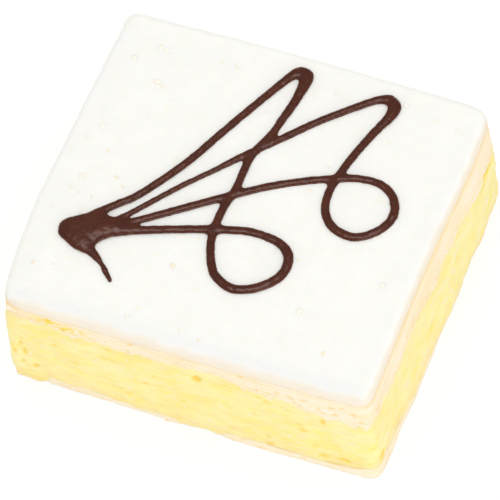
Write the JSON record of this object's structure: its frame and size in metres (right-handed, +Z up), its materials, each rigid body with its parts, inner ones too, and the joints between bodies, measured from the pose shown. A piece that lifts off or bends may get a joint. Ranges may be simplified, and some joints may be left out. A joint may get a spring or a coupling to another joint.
{
  "type": "mille feuille slice",
  "caption": "Square cut slice of custard mille feuille: flaky pastry below and above a thick custard block, white icing on top with a looping line of piped chocolate.",
  "frame": {"origin": "centre of the slice's footprint at the level it stands on", "axes": "+Z up through the layers, -Y towards the front cut face, +X to the right along the longer side"},
  "size_m": [0.0816, 0.0728, 0.0319],
  "materials": {
    "base_pastry": "matte, flaky baked pastry",
    "custard": "moist, set custard",
    "top_pastry": "matte, flaky baked pastry",
    "icing": "satin, set sugar icing",
    "chocolate": "glossy, set chocolate"
  },
  "bodies": {
    "root": {"base_pastry": "base_pastry", "custard": "custard", "top_pastry": "top_pastry", "icing": "icing", "chocolate_drizzle": "chocolate"}
  },
  "joints": []
}
